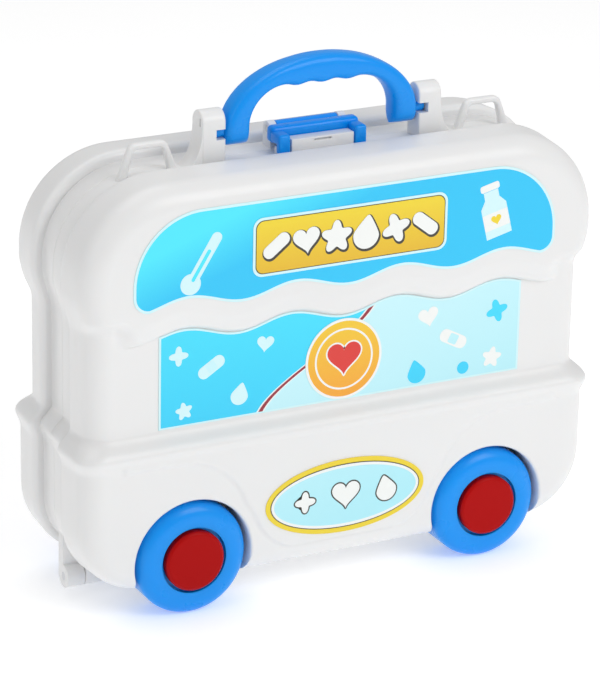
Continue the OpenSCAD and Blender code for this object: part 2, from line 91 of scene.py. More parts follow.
class CaseSizes(bpy.types.PropertyGroup):
    """Sizes of the two half shells."""

    body_width: length("Body width", "Width over the roof and the lower body", 275)
    body_top: length("Body top", "Height of the roof", 217)
    body_bottom: length("Body bottom", "Height of the underside", 14)
    half_depth: length("Half depth", "Depth of one half from the parting plane to its face", 43)
    setback: length("Setback", "How far the middle section lies back", 4.5)
    corner_radius: length("Corner radius", "Radius of the lower corners in front view", 35)
    roof_corner: length("Roof corner radius", "Radius of the roof corners in front view", 47)
    edge_radius: length("Edge radius", "Radius of the edge around the face", 12)
    wall: length("Wall", "Thickness of the walls", 2.4)
    belt_height: length("Belt height", "Height of the middle of the belt", 87)
    belt_bulge: length("Belt bulge", "How far the belt stands out", 2)
    belt_half: length("Belt half width", "Half of the height of the belt", 9)
    ledge_height: length("Ledge height", "Height over which the body narrows above the belt", 10)
    flare_height: length("Flare height", "Height over which the sides widen to the roof", 22)
    eave_height: length("Eave height", "Height of the middle of the wavy eave", 143)
    eave_lip: length("Eave lip", "Thickness of the rolled lip of the eave", 3)
    eave_slope: length("Eave slope", "Height over which the roof slopes out", 8)
    wave_amplitude: length("Wave amplitude", "Height of the waves of the eave", 2.8)
    wave_pitch: length("Wave pitch", "Length of one wave of the eave", 56)
    apron_height: length("Apron height", "Height of the lower edge of the panel between the wheels", 24)
    apron_relief: length("Apron relief", "How far that panel stands out", 1.2)
    strip_width: length("Strip width", "Width of the flat rim strip of one half", 13.5)
    strip_inset: length("Strip inset", "How far the rim strip lies inside the body", 4)
    groove_depth: length("Groove depth", "Depth of the groove beside the rim strip", 1.2)
    rim: length("Rim", "Thickness of the rim", 3)
    tongue_height: length("Tongue height", "Height of the tongue of the rear half", 3)
    tongue_wall: length("Tongue wall", "Thickness of the tongue", 1.6)
    corner_steps: IntProperty(name="Corner steps", description="Steps along each rounded corner", min=6,
                              default=22)


class FittingSizes(bpy.types.PropertyGroup):
    """Sizes of the wheels, handle, latch, hinges and strap loops."""

    wheel_radius: length("Wheel radius", "Outer radius of the wheels", node_size("wheel_front_left", 2) / 2)
    wheel_width: length("Wheel width", "Width of a wheel", node_size("wheel_front_left", 1))
    wheel_place: length("Wheel place", "Distance of the wheels from the middle", 80)
    wheel_face: length("Wheel face", "Distance of the wheel faces from the parting plane", 43.5)
    arch_gap: length("Arch gap", "Gap between a wheel and its arch", 2)
    cap_radius: length("Cap radius", "Radius of the hub caps", node_size("hub_cap_front_left", 2) / 2)
    cap_out: length("Cap out", "How far a hub cap stands out of its wheel", 2)
    axle_radius: length("Axle radius", "Radius of the axle pins", 3)
    handle_place: length("Handle place", "Distance of the handle from the parting plane", 7.5)
    pin_height: length("Pin height", "Height of the handle pins", 228.3)
    leg_place: length("Leg place", "Distance of the legs' outer faces from the middle", 51)
    leg_width: length("Leg width", "Width of a handle leg", 13)
    grip_rise: length("Grip rise", "Height of the grip above the pins", 32.5)
    grip_thickness: length("Grip thickness", "Thickness of the grip in front view", 13)
    handle_depth: length("Handle depth", "Depth of the handle", node_size("handle", 1))
    grip_corner: length("Grip corner", "Radius of the inner corners of the handle", 18)
    finger_wave: length("Finger wave", "Height of the finger waves", 1.1)
    handle_pin: length("Handle pin", "Radius of the handle pins", 3)
    ear_width: length("Ear width", "Width of an ear", 12)
    ear_depth: length("Ear depth", "Depth of an ear", 12)
    ear_height: length("Ear height", "Height of an ear above the pins", 11.6)
    latch_width: length("Latch width", "Length of the latch bar", node_size("latch", 0))
    latch_height: length("Latch height", "Height of the latch bar", 8.2)
    latch_pin_height: length("Latch pin height", "Height of the latch pin", 221.5)
    latch_pin_place: length("Latch pin place", "Distance of the latch pin behind the parting plane", 6)
    catch_width: length("Catch width", "Width of the catch", 33)
    knuckle_radius: length("Knuckle radius", "Radius of the hinge knuckles", 5.8)
    knuckle_width: length("Knuckle width", "Width of one knuckle", 9)
    hinge_height: length("Hinge height", "Height of the hinge pins", 11.6)
    hinge_end: length("Hinge end", "Distance of the outer end of a hinge from the middle", 129)
    hinge_pin: length("Hinge pin", "Radius of the hinge pins", 2)
    loop_place: length("Loop place", "Distance of the strap loops from the middle", 89)
    loop_width: length("Loop width", "Width of a strap loop at its foot", 32)
    loop_height: length("Loop height", "Height of a strap loop above the roof", 11)
    loop_bar: length("Loop bar", "Thickness of the bar of a strap loop", 3.2)
    label: length("Label", "Thickness of a label", 0.4)


class CaseColours(bpy.types.PropertyGroup):
    """Colours of the plastics and the print, and the power of the main light."""

    shell: colour("Shell", "Whitish plastic of the shells", (0.82, 0.82, 0.82))
    azure: colour("Azure", "Blue plastic of handle, latch and wheels", (0.0, 0.30, 0.90))
    dark_red: colour("Dark red", "Plastic of the hub caps", (0.42, 0.0, 0.0))
    steel: colour("Steel", "Metal of pins and axles", (0.62, 0.63, 0.65))
    sky_low: colour("Sky low", "Darker cyan of the print", (0.0, 0.55, 0.92))
    sky_high: colour("Sky high", "Lighter cyan of the print", (0.05, 0.80, 0.98))
    pale_sky: colour("Pale sky", "Pale cyan of the print", (0.42, 0.83, 0.92))
    ice: colour("Ice", "Outline and pale motifs of the print", (0.66, 0.93, 0.97))
    yellow: colour("Yellow", "Yellow of the title plate and the oval's ring", (0.87, 0.66, 0.01))
    amber: colour("Amber", "Deeper yellow at the foot of the plate", (0.78, 0.46, 0.0))
    orange: colour("Orange", "Disc of the emblem", (0.90, 0.30, 0.01))
    red: colour("Red", "Heart of the emblem", (0.72, 0.02, 0.01))
    maroon: colour("Maroon", "Dark red swoosh of the print", (0.30, 0.0, 0.02))
    ink: colour("Ink", "Dark outlines of the print", (0.03, 0.025, 0.015))
    paper: colour("Paper", "White of the print", (0.90, 0.92, 0.90))
    floor: colour("Floor", "Pale studio floor", (0.98, 0.98, 0.98))
    key_power: FloatProperty(name="Key power", description="Power of the main light", default=14, min=0,
                             unit="POWER")


def sizes():
    """All lengths as plain numbers in millimetres, and the number of corner steps."""
    scene = bpy.context.scene
    groups = (scene.case_sizes, scene.fitting_sizes)
    lengths = {p.identifier: getattr(group, p.identifier) / MM
               for group in groups for p in group.bl_rna.properties if p.type == "FLOAT"}
    return SimpleNamespace(**lengths, corner_steps=scene.case_sizes.corner_steps)


# Curves and sections


def smooth(t):
    """0 below 0, 1 above 1, and t t (3 - 2 t) between."""
    t = np.clip(t, 0, 1)
    return t * t * (3 - 2 * t)


def hump(t):
    """cos squared of a quarter turn times t, and 0 outside -1 to 1."""
    return np.where(np.abs(t) < 1, np.cos(pi / 2 * t) ** 2, 0)


def arc(cx, cz, r, start, end, n):
    """n + 1 points on a circle between two angles in degrees."""
    a = np.radians(np.linspace(start, end, n + 1))
    return np.c_[cx + r * np.cos(a), cz + r * np.sin(a)]


def belt(s, z):
    """How far the belt stands out at a height."""
    return s.belt_bulge * hump((z - s.belt_height) / s.belt_half)


def ledge_top(s):
    """Height from which the body is fully set back."""
    return s.belt_height + s.belt_half - 0.5


def strip_top(s):
    """Height of the rim strip on the roof, where the fittings stand."""
    return s.body_top - s.strip_inset


def set_out(s, z, outside, roof):
    """Distance of the surface at a height: outside below the ledge and where roof is 1, set back between,
    plus the belt."""
    full = np.maximum(smooth((ledge_top(s) - z) / s.ledge_height), roof)
    return outside - s.setback * (1 - full) + belt(s, z)


def side_at(s, z):
    """Half width of the body at a height. It widens to the roof over the flare."""
    flare_low = s.body_top - s.roof_corner - s.flare_height - 4
    return set_out(s, z, s.body_width / 2, smooth((z - flare_low) / s.flare_height))


def face_at(s, z):
    """Depth of the face at a height. It slopes out above the eave."""
    return set_out(s, z, s.half_depth, smooth((z - s.eave_height - 4) / s.eave_slope))


def wave_at(s, x):
    """Height of the wavy eave: a cosine about its middle."""
    return s.eave_height - s.wave_amplitude * np.cos(2 * pi * x / s.wave_pitch)


def side_levels(s, fine):
    """Heights of the outline's points up the side, closest where belt, ledge and eave are."""
    low, high = s.body_bottom + s.corner_radius, s.body_top - s.roof_corner
    belt_low, belt_high = s.belt_height - s.belt_half - 2, s.belt_height + s.belt_half + 2
    spans = [(low, belt_low, 20), (belt_low, belt_high, 26), (belt_high, s.eave_height - 1, 34),
             (s.eave_height - 1, s.eave_height + 4, 16), (s.eave_height + 4, high, 28)]
    parts = [np.linspace(a, b, max(2, int(n * fine)), endpoint=False) for a, b, n in spans]
    return np.concatenate([*parts, [high]])


def half_outline(s, inset, steps, levels):
    """Right half of the outline moved inwards, bottom to top: quarter circle, side, quarter circle."""
    half = s.body_width / 2
    side = np.c_[side_at(s, levels[1:-1]) - inset, levels[1:-1]]
    return np.r_[arc(half - s.corner_radius, levels[0], s.corner_radius - inset, -90, 0, steps), side,
                 arc(half - s.roof_corner, levels[-1], s.roof_corner - inset, 0, 90, steps)]


def segment_distance(px, pz, line):
    """Distance of points from a closed line and whether they are inside it, by whole arrays over its
    segments."""
    a, b = line, np.roll(line, -1, axis=0)
    p = np.stack([px, pz], -1)[..., None, :]
    d = b - a
    t = np.clip(((p - a) * d).sum(-1) / (d * d).sum(-1), 0, 1)
    distance = np.sqrt((((p - a) - t[..., None] * d) ** 2).sum(-1)).min(-1)
    x, z = p[..., 0], p[..., 1]
    crosses = (a[:, 1] > z) != (b[:, 1] > z)
    at = a[:, 0] + (z - a[:, 1]) * d[:, 0] / np.where(d[:, 1] == 0, 1e-9, d[:, 1])
    return distance, (crosses & (x < at)).sum(-1) % 2 == 1


def mirrored(line, skip=0):
    """A line in front view and its mirror image back, without the first skip points of the way back."""
    return np.r_[line, line[::-1][skip:] * [-1, 1]]


def apron_line(s):
    """Outline of the panel between the wheels: skirt arc, fender arc over each wheel, and a top under the
    belt."""
    fender_r = s.wheel_radius + s.arch_gap + 4
    top, end = s.belt_height - s.belt_half, s.body_width / 2 - s.edge_radius - 8
    return mirrored(np.r_[arc(s.wheel_place - 60, s.apron_height + 30, 30, -90, -17, 12),
                          arc(s.wheel_place + 7, top - fender_r, fender_r, 163, 90, 24),
                          [[end, top], [end, s.belt_height]]])


# Meshes


def grid_faces(index, wrap=False):
    """Quads between the rows and columns of an index array. With wrap the last column meets the first."""
    if wrap:
        index = np.c_[index, index[:, :1]]
    quads = np.stack([index[:-1, :-1], index[:-1, 1:], index[1:, 1:], index[1:, :-1]], -1)
    return quads.reshape(-1, 4)


def add_object(name, data):
    """An object with this data in the scene."""
    made = bpy.data.objects.new(name, data)
    bpy.context.scene.collection.objects.link(made)
    return made


def new_mesh(name, points, *faces):
    """A closed piece from points in millimetres and arrays of faces: doubles merged, faces outwards."""
    mesh = bpy.data.meshes.new(name)
    polygons = [face for rows in faces for face in rows.tolist()]
    mesh.from_pydata((np.asarray(points, float) * MM).tolist(), [], polygons)
    bm = bmesh.new()
    bm.from_mesh(mesh)
    bmesh.ops.remove_doubles(bm, verts=bm.verts, dist=1e-7)
    bmesh.ops.recalc_face_normals(bm, faces=bm.faces)
    bm.to_mesh(mesh)
    bm.free()
    return add_object(name, mesh)


def soften(piece, angle=32):
    """Smooth shading with edges sharper than the angle kept."""
    piece.data.shade_smooth()
    piece.data.set_sharp_from_angle(angle=radians(angle))
    return piece


def settle(piece):
    """Replaces the mesh by the one its modifiers make."""
    mesh = bpy.data.meshes.new_from_object(piece.evaluated_get(bpy.context.evaluated_depsgraph_get()))
    old, piece.data = piece.data, mesh
    piece.modifiers.clear()
    bpy.data.meshes.remove(old)
    return piece


def discard(piece):
    """Removes a piece and its mesh."""
    mesh = piece.data
    bpy.data.objects.remove(piece)
    bpy.data.meshes.remove(mesh)


def combine(piece, other, operation="DIFFERENCE"):
    """Exact Boolean of two closed pieces. The other one is used up."""
    modifier = piece.modifiers.new("cut", "BOOLEAN")
    modifier.operation, modifier.solver, modifier.object = operation, "EXACT", other
    settle(piece)
    discard(other)
    return piece


def join(name, pieces):
    """One piece of several closed ones."""
    bm = bmesh.new()
    for piece in pieces:
        bm.from_mesh(piece.data)
    mesh = bpy.data.meshes.new(name)
    bm.to_mesh(mesh)
    bm.free()
    for piece in pieces:
        discard(piece)
    return add_object(name, mesh)


def bevel(piece, width, segments=3):
    """Rounds the edges of a piece that are sharper than 30 degrees."""
    modifier = piece.modifiers.new("rounding", "BEVEL")
    modifier.width, modifier.segments = width * MM, segments
    modifier.limit_method, modifier.angle_limit = "ANGLE", radians(30)
    modifier.use_clamp_overlap = True
    return settle(piece)


def lathe(name, profile, x, z, side, segments=112, closed=False):
    """Turning about a line along Y at x, z: the profile (radius, depth) carried round the line. It
    starts and ends at a pole on the line, unless it is closed."""
    profile = np.asarray(profile, float)
    a = np.linspace(0, 2 * pi, segments, endpoint=False)
    ring = np.where(profile[:, 0] > 0)[0]
    r, d = profile[ring, 0][:, None], profile[ring, 1][:, None]
    y = np.broadcast_to(side * d, (len(ring), segments))
    points = np.stack([x + r * np.cos(a), y, z + r * np.sin(a)], -1).reshape(-1, 3)
    index = np.arange(len(points)).reshape(len(ring), segments)
    if closed:
        return new_mesh(name, points, grid_faces(np.r_[index, index[:1]], wrap=True))
    poles = [[x, side * profile[0, 1], z], [x, side * profile[-1, 1], z]]
    first, last = np.full(segments, len(points)), np.full(segments, len(points) + 1)
    turn = np.roll(index, -1, axis=1)
    return new_mesh(name, np.r_[points, poles], grid_faces(index, wrap=True),
                    np.c_[first, turn[0], index[0]], np.c_[last, index[-1], turn[-1]])


def extrude(name, line, axis, start, end):
    """A closed outline carried along X (axis 0) or Y (axis 1) from start to end."""
    points = np.concatenate([np.insert(np.asarray(line, float), axis, at, axis=1) for at in (start, end)])
    index = np.arange(len(points)).reshape(2, -1)
    return new_mesh(name, points, grid_faces(index, wrap=True), index)


def prism(name, line, y0, y1):
    """Flat plate: an outline in front view between two depths along Y."""
    return extrude(name, line, 1, y0, y1)


def bar(name, line, x0, x1):
    """Bar along X: an outline in side view (y, z) between two places."""
    return extrude(name, line, 0, x0, x1)


def block(name, low, high):
    """Box between two corners."""
    (x0, y0, z0), (x1, y1, z1) = low, high
    return bar(name, [[y0, z0], [y1, z0], [y1, z1], [y0, z1]], x0, x1)


def rod(name, x0, x1, y, z, r, segments=40):
    """Cylinder along X."""
    return bar(name, arc(y, z, r, 0, 360, segments)[:-1], x0, x1)


def section_loft(name, outer, inner, depth, middle_y, power, around):
    """Bar between an outer and an inner curve in front view. Each section is a superellipse: its half axes
    are half the way between the curves and half the depth, and cosine and sine are raised to 2 / power."""
    depth = np.broadcast_to(depth, (len(outer),))[:, None]
    a = np.linspace(0, 2 * pi, around, endpoint=False)
    across, along = (np.sign(v) * np.abs(v) ** (2 / power) for v in (np.cos(a), np.sin(a)))
    middle, half = (outer + inner) / 2, (outer - inner) / 2
    x, z = (middle[:, i:i + 1] + half[:, i:i + 1] * across for i in (0, 1))
    points = np.stack([x, middle_y + depth / 2 * along, z], -1).reshape(-1, 3)
    index = np.arange(len(points)).reshape(len(outer), around)
    return new_mesh(name, points, grid_faces(index, wrap=True), index[[0, -1]])


# Materials


def node_material(name):
    """A material with only its shader, its output and an Object coordinate node."""
    material = bpy.data.materials.new(name)
    material.use_nodes = True
    tree = material.node_tree
    shader = next(n for n in tree.nodes if n.type == "BSDF_PRINCIPLED")
    coordinates = tree.nodes.new("ShaderNodeTexCoord")
    return material, tree, shader, coordinates.outputs["Object"]


def feed(tree, node, inputs):
    """Gives a node its inputs by name: a socket is linked, and anything else is the value."""
    for name, value in inputs.items():
        if isinstance(value, bpy.types.NodeSocket):
            tree.links.new(value, node.inputs[name])
        else:
            node.inputs[name].default_value = value
    return node


def add_node(tree, kind, inputs):
    """A new shader node of a kind with these inputs."""
    return feed(tree, tree.nodes.new("ShaderNode" + kind), inputs)


def noise(tree, vector, scale, detail):
    """Noise texture in the object's own space."""
    return add_node(tree, "TexNoise", {"Vector": vector, "Scale": scale, "Detail": detail}).outputs["Fac"]


def ramp(tree, factor, stops):
    """Colour ramp from (place, colour) stops."""
    node = add_node(tree, "ValToRGB", {"Fac": factor})
    elements = node.color_ramp.elements
    while len(elements) < len(stops):
        elements.new(0.5)
    for element, (place, rgb) in zip(elements, stops):
        element.position, element.color = place, (*rgb, 1)
    return node.outputs["Color"]


def to_range(tree, factor, low, high, start=0.0, end=1.0):
    """Maps a value from start..end to low..high."""
    inputs = {"Value": factor, "From Min": start, "From Max": end, "To Min": low, "To Max": high}
    return add_node(tree, "MapRange", inputs).outputs["Result"]


def bump(tree, height, distance, strength):
    """Normal of a bumped surface, distance in metres."""
    inputs = {"Height": height, "Distance": distance, "Strength": strength}
    return add_node(tree, "Bump", inputs).outputs["Normal"]


def shades(rgb, spread, low=0.3, high=0.7):
    """A darker and a lighter shade of a colour, as two ramp stops."""
    base = np.array(rgb[:])
    return [(low, np.clip(base * (1 - spread), 0, 1)), (high, np.clip(base * (1 + spread), 0, 1))]


def moulded(name, rgb, roughness, coat=0.0, spread=0.02, glow=0.0, sheen=0.5):
    """Moulded plastic: faint flow marks in the colour, uneven gloss, a fine tool grain, and light let in
    below the skin."""
    material, tree, shader, place = node_material(name)
    feed(tree, shader, {
        "Base Color": ramp(tree, noise(tree, place, 9, 2), shades(rgb, spread)),
        "Roughness": to_range(tree, noise(tree, place, 60, 4), roughness - 0.05, roughness + 0.07,
                              start=0.3, end=0.7),
        "Normal": bump(tree, noise(tree, place, 700, 2), 0.00004, 0.35),
        "Coat Weight": coat, "Coat Roughness": 0.12, "IOR": 1.49, "Specular IOR Level": sheen})
    if glow:
        feed(tree, shader, {"Subsurface Weight": glow, "Subsurface Radius": (0.6, 0.8, 1.0),
                            "Subsurface Scale": 0.004})
    return material


def brushed(name, rgb):
    """Drawn steel wire: fine lines round the pin in gloss and bump."""
    material, tree, shader, place = node_material(name)
    stretch = add_node(tree, "Mapping", {"Vector": place, "Scale": (0.08, 1, 1)})
    lines = noise(tree, stretch.outputs["Vector"], 2400, 3)
    feed(tree, shader, {"Base Color": ramp(tree, lines, shades(rgb, 0.08)),
                        "Roughness": to_range(tree, lines, 0.22, 0.4),
                        "Normal": bump(tree, lines, 0.00003, 0.3), "Metallic": 1.0})
    return material


def printed(name, stops, tilt=0.0, low=0.0, high=1.0):
    """Printed film: a gradient between two heights in metres, turned by a tilt about Y, with fine press
    grain and a clear coat."""
    material, tree, shader, place = node_material(name)
    turn = add_node(tree, "Mapping", {"Vector": place, "Rotation": (0, tilt, 0)})
    split = add_node(tree, "SeparateXYZ", {"Vector": turn.outputs["Vector"]})
    grain = tree.nodes.new("ShaderNodeMath")
    grain.operation = "MULTIPLY_ADD"
    feed(tree, grain, {0: noise(tree, place, 1500, 1), 1: SPECK,
                       2: to_range(tree, split.outputs["Z"], 0, 1, low, high)})
    feed(tree, shader, {"Base Color": ramp(tree, grain.outputs["Value"], stops),
                        "Roughness": to_range(tree, noise(tree, place, 90, 3), 0.26, 0.36),
                        "Normal": bump(tree, noise(tree, place, 420, 2), 0.00002, 0.25),
                        "Coat Weight": 0.35, "Coat Roughness": 0.08})
    return material


SPECK = 0.03  # share of the press grain in a gradient
MATERIALS = {}


def material(name):
    """The named material, made once."""
    if not MATERIALS:
        c = bpy.context.scene.case_colours
        fade = lambda low, high: [(0.0, low[:]), (1.0, high[:])]
        sky = [(0.0, c.sky_low[:]), (0.45, c.sky_low[:]), (0.75, c.sky_high[:]), (1.0, c.sky_high[:])]
        MATERIALS.update(
            shell=moulded("white_moulded_plastic", c.shell, 0.36, spread=0.012, coat=0.15, glow=0.1,
                          sheen=0.4),
            azure=moulded("azure_plastic", c.azure, 0.3, coat=0.08, spread=0.03, glow=0.12, sheen=0.3),
            dark_red=moulded("dark_red_plastic", c.dark_red, 0.42, spread=0.05, sheen=0.12),
            steel=brushed("drawn_steel", c.steel),
            sky=printed("cyan_print", sky, tilt=0.35, low=0.149, high=0.229),
            sky_panel=printed("cyan_panel_print", fade(c.sky_low, c.sky_high), low=0.064, high=0.184),
            pale_sky=printed("pale_cyan_print", fade(c.pale_sky, c.ice), tilt=0.3, low=0.034, high=0.194),
            yellow=printed("yellow_print", fade(c.amber, c.yellow), low=0.168, high=0.194),
            orange=printed("orange_print", fade(c.orange, c.yellow), low=0.089, high=0.154))
        plain = (("ice", "ice", c.ice), ("ring", "yellow_ring", c.yellow), ("red", "red", c.red),
                 ("maroon", "maroon", c.maroon), ("ink", "ink", c.ink), ("paper", "white", c.paper))
        for key, ink, rgb in plain:
            MATERIALS[key] = printed(f"{ink}_print", shades(rgb, 0.03, 0, 1))
    return MATERIALS[name]


def dress(piece, finish, body, replaces=()):
    """Gives a piece its material, its CAD body and the nodes it stands for."""
    piece.data.materials.clear()
    piece.data.materials.append(material(finish))
    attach(piece, body)
    if replaces:
        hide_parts(*replaces)
    return piece


# Shells


def edge_rings(s, t, n):
    """Quarter circle around the face edge, t inside the outer surface, as (depth, inset)."""
    a = np.radians(np.linspace(90, 0, n + 1))
    r = s.edge_radius - t
    return np.c_[s.half_depth - s.edge_radius + r * np.sin(a), 0.8 + t + r * (1 - np.cos(a))]


def rim_rings(s):
    """Side wall, rolled bead, groove and flat strip down to the parting plane, as (depth, inset)."""
    a = np.radians(np.linspace(90, 0, 8))
    start = s.strip_width + 1.7
    floor = s.strip_inset + s.groove_depth
    bead = np.c_[start + 3.3 - 3.3 * np.cos(a), 3.2 * (1 - np.sin(a))]
    return np.r_[[[29, 0.68], [26.5, 0.51], [24, 0.36], [21.5, 0.2]], bead,
                 [[start - 0.15, floor - 0.4], [start - 0.3, floor], [s.strip_width + 0.15, floor],
                  [s.strip_width - 0.05, floor - 0.3], [s.strip_width - 0.2, s.strip_inset + 0.25],
                  [s.strip_width - 0.6, s.strip_inset], [0.35, s.strip_inset], [0, s.strip_inset + 0.3]]]


def front_relief(s, x, z, edge):
    """Depth of the front face: the middle section, plus the rolled lip of the eave above the wave, plus the
    slope of the roof, faded into the plain face near its sides. Below the belt the panel between the wheels
    stands out."""
    t = z - wave_at(s, x)
    lip = s.eave_lip * np.sqrt(1 - (1 - np.clip(t / s.eave_lip, 0, 1)) ** 2)
    roof = s.half_depth - s.setback + lip + (s.setback - s.eave_lip) * smooth((t - 2) / 9)
    inner = smooth((edge - np.abs(x) - 1) / 11)
    plain = face_at(s, z)
    above = np.maximum(roof, np.where(t > 11, plain, 0))
    depth = np.where(z > s.eave_height - 12, inner * above + (1 - inner) * plain, plain)
    distance, inside = segment_distance(x, z, apron_line(s))
    apron = s.half_depth + s.apron_relief * smooth(distance / 1.8)
    return np.where(inside & (z < s.belt_height), np.maximum(depth, apron), depth)


def shell_solid(name, s, rings, side, steps, levels, columns, front=False):
    """Closed loft of the outline through rings (depth, inset). The first ring is filled by a grid of
    columns between left and right points of one height, the last one by a flat face."""
    halves = [half_outline(s, inset, steps, levels) for _, inset in rings]
    m = len(halves[0])
    share = 1 - 2 * np.arange(1, columns) / columns

    def whole(h):
        top = np.c_[h[-1, 0] * share, np.full(columns - 1, h[-1, 1])]
        low = np.c_[-h[0, 0] * share, np.full(columns - 1, h[0, 1])]
        return np.r_[h, top, h[::-1] * [-1, 1], low]

    outline = np.stack([whole(h) for h in halves])
    depth = np.array([d for d, _ in rings])[:, None]
    blend = smooth((depth - 20) / (s.half_depth - s.edge_radius - 20))
    y = depth - blend * (s.half_depth - face_at(s, outline[..., 1]))
    points = np.stack([outline[..., 0], side * y, outline[..., 1]], -1)
    n = points.shape[1]
    ring_index = np.arange(len(rings) * n).reshape(len(rings), n)

    h = halves[0]
    edge = h[1:-1, :1]
    x = edge * share
    z = np.broadcast_to(h[1:-1, 1:], x.shape)
    if front:
        near = smooth(1 - np.abs(z - s.eave_height) / 16) * smooth((edge - np.abs(x)) / 12)
        z = z + (wave_at(s, x) - s.eave_height) * near
        face_y = front_relief(s, x, z, edge)
    else:
        face_y = face_at(s, z) - (s.half_depth - rings[0][0])
    grid = np.stack([x, side * face_y, z], -1).reshape(-1, 3)
    inner = len(rings) * n + np.arange(len(grid)).reshape(x.shape)
    face = np.zeros((m, columns + 1), int)
    face[:, 0] = np.arange(m)
    face[:, -1] = m + columns - 1 + np.arange(m)[::-1]
    face[1:-1, 1:-1] = inner
    face[-1, 1:-1] = m + np.arange(columns - 1)
    face[0, 1:-1] = np.arange(n - 1, n - columns, -1)
    walls = grid_faces(ring_index, wrap=True)
    return new_mesh(name, np.r_[points.reshape(-1, 3), grid], walls, grid_faces(face), ring_index[-1:])


def wheel_places(s):
    """Places of the wheels along the case with their names."""
    return [(side * s.wheel_place, place) for place, side in SIDES]


def build_shell(name, side):
    """One half: the outer loft, less its hollow around the wheel housings and bosses, less pockets with
    rolled mouths."""
    s = sizes()
    front, inset = side < 0, s.strip_inset + s.rim
    outer, lip, end = np.r_[edge_rings(s, 0, 12), rim_rings(s)], inset, -1
    if not front:
        lip, end = inset + PLAY + s.tongue_wall, -s.tongue_height - 1
        outer = np.r_[outer, [[0, inset + PLAY], [0.3 - s.tongue_height, inset + PLAY],
                              [-s.tongue_height, inset + 0.7]]]
    columns = 236 if front else 40
    shell = shell_solid(name, s, outer, side, s.corner_steps, side_levels(s, 1), columns, front)
    inner = np.r_[edge_rings(s, s.wall, 6),
                  [[20.5, s.wall + 0.2], [16.5, inset], [8, inset], [6, lip], [end, lip]]]
    hollow = shell_solid("hollow", s, inner, side, 12, side_levels(s, 0.35), 10)

    r, face, boss_r = s.wheel_radius + s.arch_gap, s.half_depth, 6.5
    back = s.wheel_face - s.wheel_width - PLAY
    inside, boss_back = back - s.wall, back - s.wall - BOSS
    housing = [[0, boss_back], [boss_r, boss_back], [boss_r, inside], [r + s.wall, inside],
               [r + s.wall, face + 1], [0, face + 1]]
    a = np.radians(np.linspace(0, 90, 6))
    pocket = np.r_[[[0, boss_back - 1], [s.axle_radius, boss_back - 1], [s.axle_radius, back], [r, back]],
                   np.c_[r + ROLL * (1 - np.cos(a)), face - ROLL + ROLL * np.sin(a)],
                   [[r + ROLL, face + 8], [0, face + 8]]]
    wheels = [x for x, _ in wheel_places(s)]
    housings = join("housings", [lathe("housing", housing, x, s.wheel_radius, side) for x in wheels])
    pockets = join("pockets", [lathe("pocket", pocket, x, s.wheel_radius, side, 128) for x in wheels])
    combine(shell, combine(hollow, housings))
    combine(shell, pockets)
    return soften(shell, 38)


def knuckle(name, s, side, x0, x1, right):
    """Hinge knuckle: a ring round the pin and a web that runs up into the corner of its half."""
    a, b = (x0, x1) if right > 0 else (-x1, -x0)
    cx, cz = s.body_width / 2 - s.corner_radius, s.body_bottom + s.corner_radius
    r = s.corner_radius - s.strip_inset - 1.5
    xs = np.linspace(x0, x1, 8)
    top = np.c_[right * xs, cz - np.sqrt(np.maximum(r * r - np.maximum(xs - cx, 0) ** 2, 0))]
    line = np.r_[[[right * x1, s.hinge_height], [right * x0, s.hinge_height]], top]
    web = prism("web", line, *sorted([side * PLAY, side * s.knuckle_radius]))
    piece = combine(rod(name, a, b, 0, s.hinge_height, s.knuckle_radius, 48), web, "UNION")
    combine(piece, rod("bore", a - 1, b + 1, 0, s.hinge_height, s.hinge_pin, 32))
    return soften(bevel(piece, 0.45, 2))


def build_knuckles(s, side, body):
    """The knuckles of one half at both corners: two at the rear, and one between them in front."""
    end, w = s.hinge_end, s.knuckle_width
    half, spans = "rear", [(end - w, end), (end - 3 * w, end - 2 * w)]
    if side < 0:
        half, spans = "front", [(end - 2 * w + PLAY, end - w - PLAY)]
    for place, right in SIDES:
        for number, (x0, x1) in enumerate(spans, 1):
            piece = knuckle(f"{half}_knuckle_{place}_{number}", s, side, x0, x1, right)
            dress(piece, "shell", body)


class CASE_OT_rear_half(bpy.types.Operator):
    """Rear half shell with its hinge knuckles and latch lugs"""

    bl_idname = "toy_case.rear_half"
    bl_label = "Rear Half"

    def execute(self, context):
        s = sizes()
        dress(build_shell("rear_half_shell", 1), "shell", "rear_case", ["rear_shell"])
        build_knuckles(s, 1, "rear_case")
        y, z, top, base = s.latch_pin_place, s.latch_pin_height, strip_top(s) + 1, strip_top(s) - ROOT
        line = np.r_[arc(y, z, 4, 0, 180, 20),
                     [[y - 4, top], [y - 5.5, base], [y + 5.5, base], [y + 4, top]]]
        inner = s.latch_width / 2 - LUG_INSET
        for place, x in (("left", -inner - LUG_WIDTH), ("right", inner)):
            lug = bar(f"latch_lug_{place}", line, x, x + LUG_WIDTH)
            combine(lug, rod("bore", x - 1, x + LUG_WIDTH + 1, y, z, 1.5, 24))
            dress(soften(bevel(lug, 0.4, 2)), "shell", "rear_case")
        return {"FINISHED"}


class CASE_OT_front_half(bpy.types.Operator):
    """Front half shell with wavy eave, wheel arches and hinge knuckles"""

    bl_idname = "toy_case.front_half"
    bl_label = "Front Half"

    def execute(self, context):
        dress(build_shell("front_half_shell", -1), "shell", "front_case", ["front_shell"])
        build_knuckles(sizes(), -1, "front_case")
        return {"FINISHED"}


